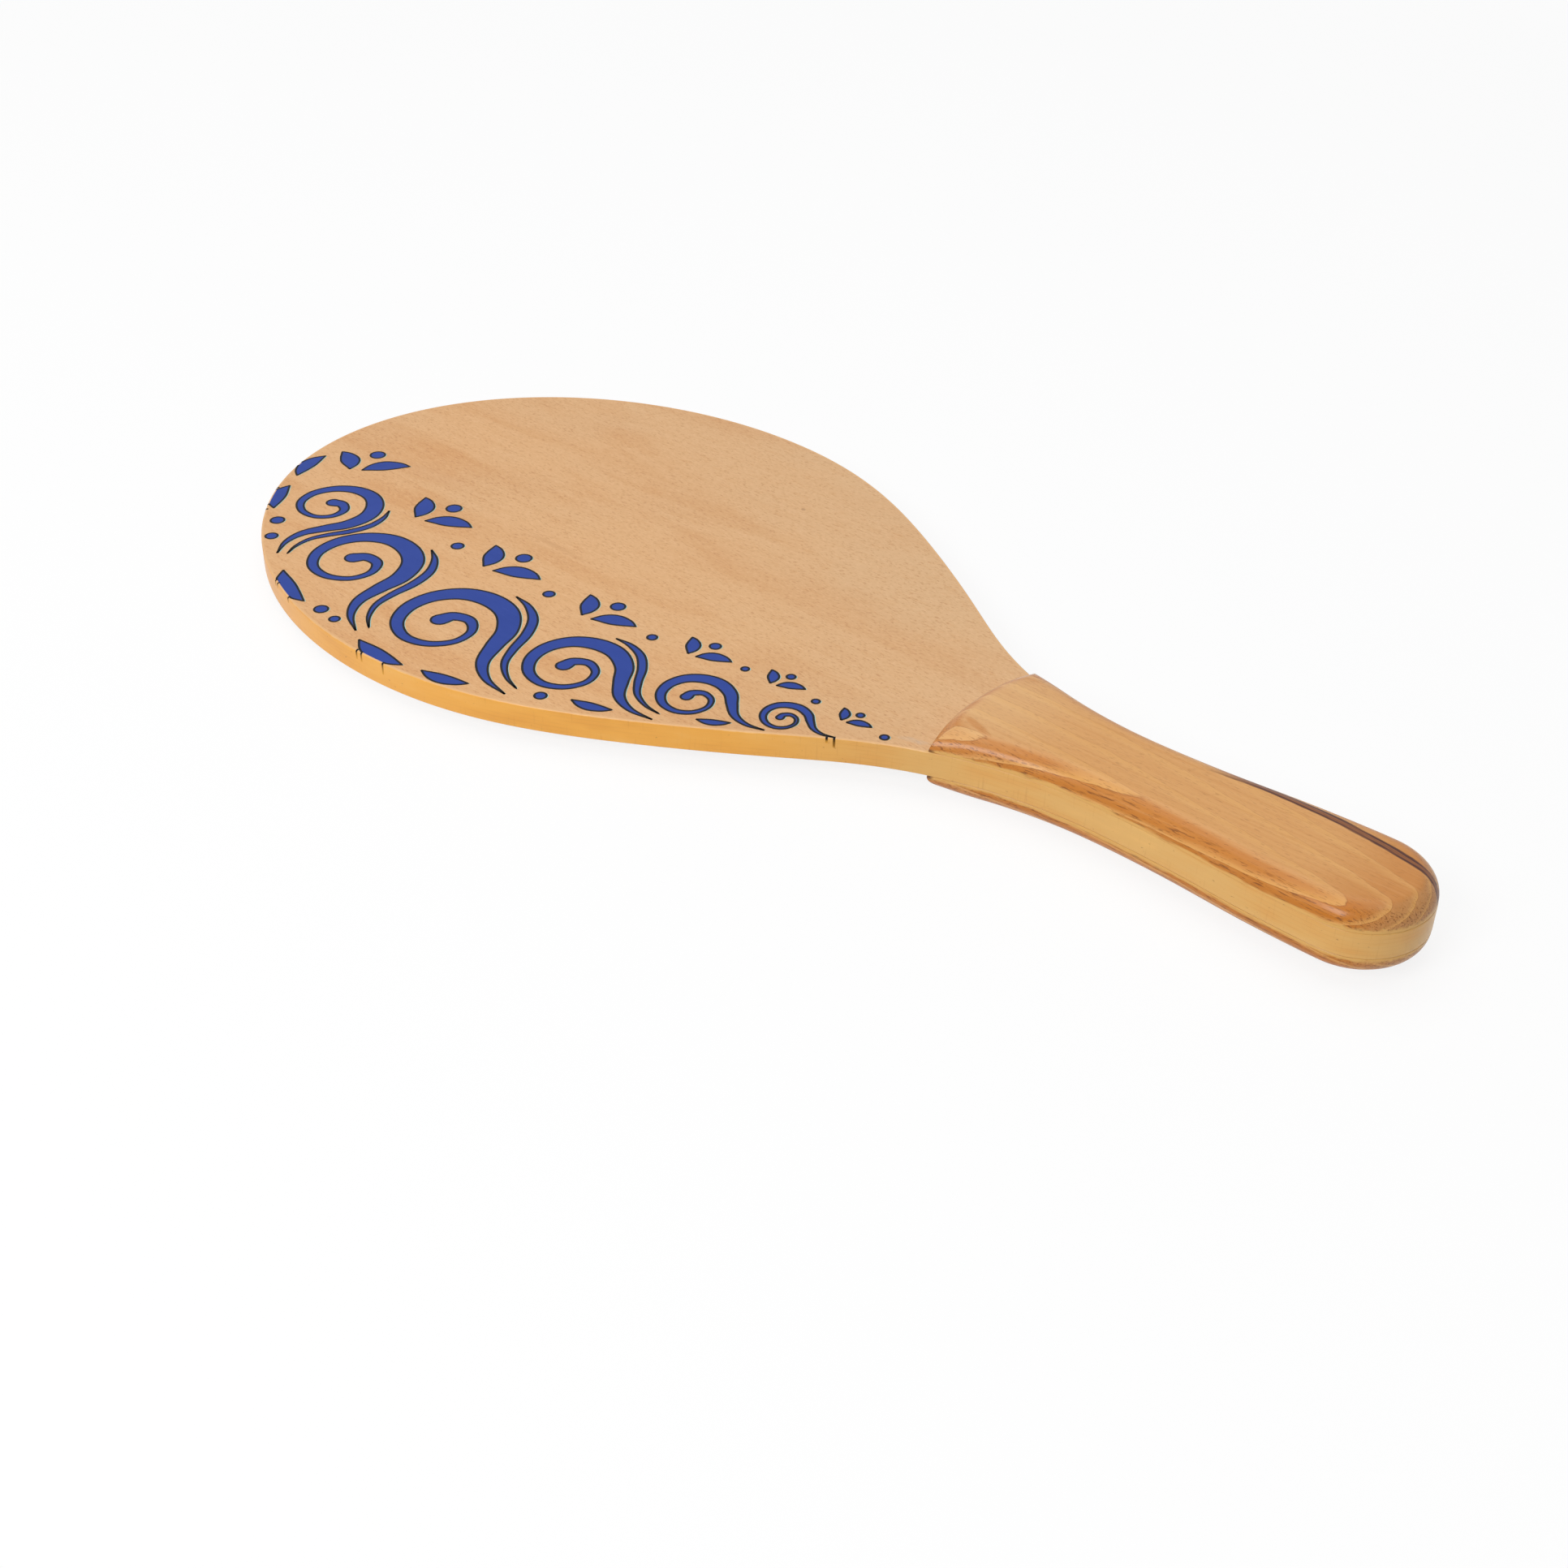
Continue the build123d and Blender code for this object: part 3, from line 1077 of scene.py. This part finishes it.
def ink_run(step, length, width, rim, film):
    """Points, widths and fades of a run of ink that turns over the arris and goes down the edge."""
    reach = rim.arris + rim.thickness + film
    inner = OUTLINE[step] - OUTWARD[step] * (rim.arris + RUN_LEAD)
    points = [(*inner, FACE_TOP + LINE_BOTTOM * film)]
    for turn in range(TURN_STEPS + 1):
        angle = math.pi / 2 * turn / TURN_STEPS
        place = OUTLINE[step] + OUTWARD[step] * (reach * math.sin(angle) - rim.arris)
        points.append((*place, FACE_TOP - rim.arris + reach * math.cos(angle)))
    for share in (0.35, 0.7, 1.0):
        points.append((*place, FACE_TOP - rim.arris - length * share))
    fading = len(points) - TURN_STEPS
    fades = [max(0.0, (index + 1 - TURN_STEPS) / fading) for index in range(len(points))]
    return points, [width * (1 - 0.8 * fade) for fade in fades], fades


# Stage

CAMERA_PLACE = (0.4042, -0.4876, 0.3954)
CAMERA_FORWARD = (-0.52942, 0.6269, -0.57159)
CAMERA_UP = (-0.38329, 0.42432, 0.82039)
SENSOR_WIDTH = 36.0

# The back scale touches the floor so far behind its front end
HEEL = 11 * MM
# The floor reaches so far each way, in metres, and lies so far below the places that touch it
FLOOR_REACH = 4.0
FLOOR_GAP = 0.1 * MM
# Squares of the distances, in square millimetres, between which the floor turns quite white
WHITENING = (0.4e6, 2.2e6)


def seen(net):
    """1 for what the camera sees, straight or in a gloss or through glass, and 0 for light."""
    ray = net.node("ShaderNodeLightPath")
    straight = Value(net, ray.outputs["Is Camera Ray"])
    return straight.highest(ray.outputs["Is Glossy Ray"]).highest(ray.outputs["Is Transmission Ray"])


def floor_material(glow):
    """Matt white paper, lifted towards pure white for the camera."""
    surface = Surface("floor_white")
    shade = surface.mixed(surface.noise((160, 160, 160)), srgb(250, 250, 250), srgb(246, 247, 248))
    matt = surface.node("ShaderNodeBsdfDiffuse", sockets={"Color": shade})
    white = surface.node("ShaderNodeEmission", sockets={"Color": (1, 1, 1, 1), "Strength": 1.0})
    x, y, _ = surface.axes(surface.place)
    far = (x * x + y * y).step(*WHITENING)
    share = seen(surface) * (glow + far * (1 - glow))
    mix = surface.node("ShaderNodeMixShader", sockets={0: share, 1: matt, 2: white})
    surface.node("ShaderNodeOutputMaterial", sockets={0: mix})
    return surface.material


def lay_floor(glow):
    """Puts the floor under the blade's tip and the front end of the back scale, on which the racket rests."""
    tip = Vector((TIP, 0, FACE_BOTTOM))
    along = (Vector((SCALE_FRONT + HEEL, 0, 0)) - tip).normalized()
    across = Vector((0, 1, 0))
    below = along.cross(across) * FLOOR_GAP
    corners = []
    for right, ahead in ((-1, -1), (1, -1), (1, 1), (-1, 1)):
        corners.append(tip + along * FLOOR_REACH * right + across * FLOOR_REACH * ahead - below)
    mesh = bpy.data.meshes.new("floor")
    mesh.from_pydata([tuple(corner) for corner in corners], [], [(0, 1, 2, 3)])
    mesh.materials.append(floor_material(glow))
    floor = add_object("floor", mesh)


def set_world(scene, room_light):
    """White to the camera, and an even light of the strength given."""
    world = bpy.data.worlds.new("studio")
    scene.world = world
    world.use_nodes = True
    net = Net(world.node_tree)
    room = net.node("ShaderNodeBackground", sockets={0: (1, 1, 1, 1), 1: room_light})
    white = net.node("ShaderNodeBackground", sockets={0: (1, 1, 1, 1), 1: 1.0})
    mix = net.node("ShaderNodeMixShader", sockets={0: seen(net), 1: room, 2: white})
    net.node("ShaderNodeOutputWorld", sockets={0: mix})


def add_softbox(name, place, width, height, power):
    """A rectangular lamp aimed at the middle of the racket."""
    lamp = bpy.data.lights.new(name, "AREA")
    lamp.shape = "RECTANGLE"
    lamp.size = width
    lamp.size_y = height
    lamp.energy = power
    made = add_object(name, lamp)
    made.location = place
    made.rotation_mode = "QUATERNION"
    made.rotation_quaternion = (-Vector(place)).to_track_quat("-Z", "Y")


def set_camera(scene, focal_length):
    lens = bpy.data.cameras.new("camera")
    lens.lens = focal_length
    lens.sensor_width = SENSOR_WIDTH
    camera = add_object("camera", lens)
    back = -Vector(CAMERA_FORWARD).normalized()
    right = Vector(CAMERA_UP).cross(back).normalized()
    turn = Matrix((right, back.cross(right), back)).transposed().to_4x4()
    camera.matrix_world = Matrix.Translation(CAMERA_PLACE) @ turn
    scene.camera = camera


# Operators


class RACKET_OT_set_stage(bpy.types.Operator):
    """Set the pale floor, the soft lights and the camera"""

    bl_idname = "racket.set_stage"
    bl_label = "Stage"

    def execute(self, context):
        scene = context.scene
        studio = scene.racket_studio
        scene.view_settings.view_transform = "Standard"
        lay_floor(studio.floor_glow)
        set_world(scene, studio.room_light)
        add_softbox("overhead", place=(-0.35, 0.25, 2.2), width=2.6, height=2.6, power=studio.overhead_power)
        add_softbox("side", place=(0.05, -1.5, 1.2), width=0.9, height=0.7, power=studio.side_power)
        set_camera(scene, studio.lens)
        return {"FINISHED"}


class RACKET_OT_finish_plies(bpy.types.Operator):
    """Give the two face veneers and the five inner plies their wood"""

    bl_idname = "racket.finish_plies"
    bl_label = "Plies"

    def execute(self, context):
        wood = context.scene.racket_wood
        along = veneer("beech_ply_along", wood, shift=(1.3, 5.9, 4.1))
        across = veneer("beech_ply_across", wood, turned=True, shift=(6.1, 0.7, 9.3))
        finishes = {
            "front_face_ply": veneer("beech_face_front", wood, marks=FACE_MARKS),
            "back_face_ply": veneer("beech_face_back", wood, shift=(3.7, 8.1, 2.3)),
        }
        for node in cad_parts:
            if node.endswith("_long_ply"):
                finishes[node] = along
            if node.endswith("_cross_ply"):
                finishes[node] = across
        for node, material in finishes.items():
            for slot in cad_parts[node].material_slots:
                slot.material = material
        return {"FINISHED"}


class RACKET_OT_coat_rim(bpy.types.Operator):
    """Lay the lacquer round the edge of the blade and of the tang between the scales"""

    bl_idname = "racket.coat_rim"
    bl_label = "Rim lacquer"

    def execute(self, context):
        rim = context.scene.racket_rim
        section = rim_section(rim)
        profile = wire(
            "coat_section",
            [(inwards, up, 0) for (inwards, up), _ in section],
            loop_edges(len(section)),
            {"square": [(right, rise, 0) for _, (right, rise) in section]},
        )
        covered = (OUTLINE[:, 0] - NECK + SQUARE_LEAD) / SQUARE_WAY
        path = wire(
            "rim_path",
            [(x, y, (FACE_TOP + FACE_BOTTOM) / 2) for x, y in OUTLINE],
            loop_edges(OUTLINE_STEPS),
            {"outward": [(x, y, 0) for x, y in OUTWARD], "covered": np.clip(covered, 0, 1)},
        )
        material = rim_lacquer("rim_lacquer", rim)
        mesh = grown(path, coat_tree(), {"Section": profile, "Material": material})
        bpy.data.objects.remove(profile)
        piece = settle_piece("rim_lacquer", mesh, material)
        unroll_rim(piece.data)
        return {"FINISHED"}


class RACKET_OT_shape_scales(bpy.types.Operator):
    """Shape the two handle scales with their rounding, crown and lowered front corners"""

    bl_idname = "racket.shape_scales"
    bl_label = "Handle scales"

    def execute(self, context):
        scene = context.scene
        grip = scene.racket_grip
        settings = (scene.racket_wood, grip, scene.racket_rim)
        wood = grip_wood("beech_grip_front", *settings, SCALE_HIGH.z, (2.2, 6.4, 1.7), mineral_streak=True)
        mesh = scale_mesh("front_scale_shaped", grip, 1.5, True, SCALE_LOW.z, way=1)
        settle_piece("front_scale_shaped", mesh, wood, ["front_handle_scale"])

        low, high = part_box("back_handle_scale")
        wood = grip_wood("beech_grip_back", *settings, low.z, (7.9, 3.1, 5.2), mineral_streak=False)
        mesh = scale_mesh("back_scale_shaped", grip, 8.5, False, high.z, way=-1)
        settle_piece("back_scale_shaped", mesh, wood, ["back_handle_scale"])
        return {"FINISHED"}


class RACKET_OT_print_face(bpy.types.Operator):
    """Print the waves on the blade: pale ground, blue fill, dark outlines and their runs over the edge"""

    bl_idname = "racket.print_face"
    bl_label = "Face print"

    def execute(self, context):
        inks = context.scene.racket_print
        rim = context.scene.racket_rim
        film = inks.film
        inset = rim.arris + PRINT_GAP
        drawn = [trimmed(shape, inset) for shape in shapes()]
        drawn = [(outline, outside) for outline, outside in drawn if not outside.all()]
        outlines = [outline for outline, _ in drawn]

        shift = np.array([inks.ground_shift, inks.ground_shift * 0.6])
        ground = [trimmed(outline + shift, inset)[0] for outline in outlines]
        white = ink("ink_ground", inks.ground_colour)
        add_film("print_ground", ground, FACE_TOP - film, FACE_TOP + 2 * film, white)
        blue = ink("ink_fill", inks.fill_colour)
        add_film("print_fill", outlines, FACE_TOP - film, FACE_TOP + LINE_BOTTOM * film, blue)

        lines = Paths()
        runs = Paths()
        rng = random.Random(inks.seed)
        height = FACE_TOP + (LINE_BOTTOM + 0.5) * film
        for outline, outside in drawn:
            for path, closed in line_runs(outline, outside):
                widths = [hand_width(point, inks.seed) for point in path]
                lines.add([(x, y, height) for x, y in path], widths, [0.0] * len(path), closed)
                if closed:
                    continue
                for end in (path[0], path[-1]):
                    self.run_over(runs, end, rng, rim, film)
        tree = line_tree()
        for label, paths, run_colour in (("lines", lines, None), ("runs", runs, rim.colour)):
            material = ink("ink_" + label, inks.line_colour, run_colour)
            values = {"Width": inks.line_width, "Film": film, "Material": material}
            mesh = grown(paths.wire(f"print_{label}_path"), tree, values)
            settle_piece("print_" + label, mesh, material)
        return {"FINISHED"}

    @staticmethod
    def run_over(runs, end, rng, rim, film):
        """One run of ink where a line meets the rim, and now and then a shorter one beside it."""
        step = outline_step(end)
        for beside in range(rng.choice(RUN_COUNTS)):
            near = (step + rng.choice(RUN_ASIDE) * beside) % OUTLINE_STEPS
            length = rng.uniform(*RUN_LENGTHS) * MM * (0.6 if beside else 1.0)
            runs.add(*ink_run(near, length, rng.uniform(*RUN_WIDTHS), rim, film))


OPERATORS = (
    RACKET_OT_set_stage,
    RACKET_OT_finish_plies,
    RACKET_OT_coat_rim,
    RACKET_OT_shape_scales,
    RACKET_OT_print_face,
)


class RACKET_PT_panel(bpy.types.Panel):
    bl_idname = "RACKET_PT_panel"
    bl_label = "Racket"
    bl_space_type = "VIEW_3D"
    bl_region_type = "UI"
    bl_category = "Racket"

    def draw(self, context):
        for operator in OPERATORS:
            self.layout.operator(operator.bl_idname)
        for label, group in SETTINGS.items():
            box = self.layout.box()
            settings = getattr(context.scene, label)
            for name in group.__annotations__:
                box.prop(settings, name)


def register():
    for group in SETTINGS.values():
        bpy.utils.register_class(group)
    for label, group in SETTINGS.items():
        setattr(bpy.types.Scene, label, bpy.props.PointerProperty(type=group))
    for shown in (*OPERATORS, RACKET_PT_panel):
        bpy.utils.register_class(shown)


def unregister():
    for shown in (RACKET_PT_panel, *reversed(OPERATORS)):
        bpy.utils.unregister_class(shown)
    for label in SETTINGS:
        delattr(bpy.types.Scene, label)
    for group in reversed(SETTINGS.values()):
        bpy.utils.unregister_class(group)


def main():
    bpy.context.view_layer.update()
    register()
    bpy.ops.racket.set_stage()
    bpy.ops.racket.finish_plies()
    bpy.ops.racket.coat_rim()
    bpy.ops.racket.shape_scales()
    bpy.ops.racket.print_face()


if __name__ == "__main__":
    main()
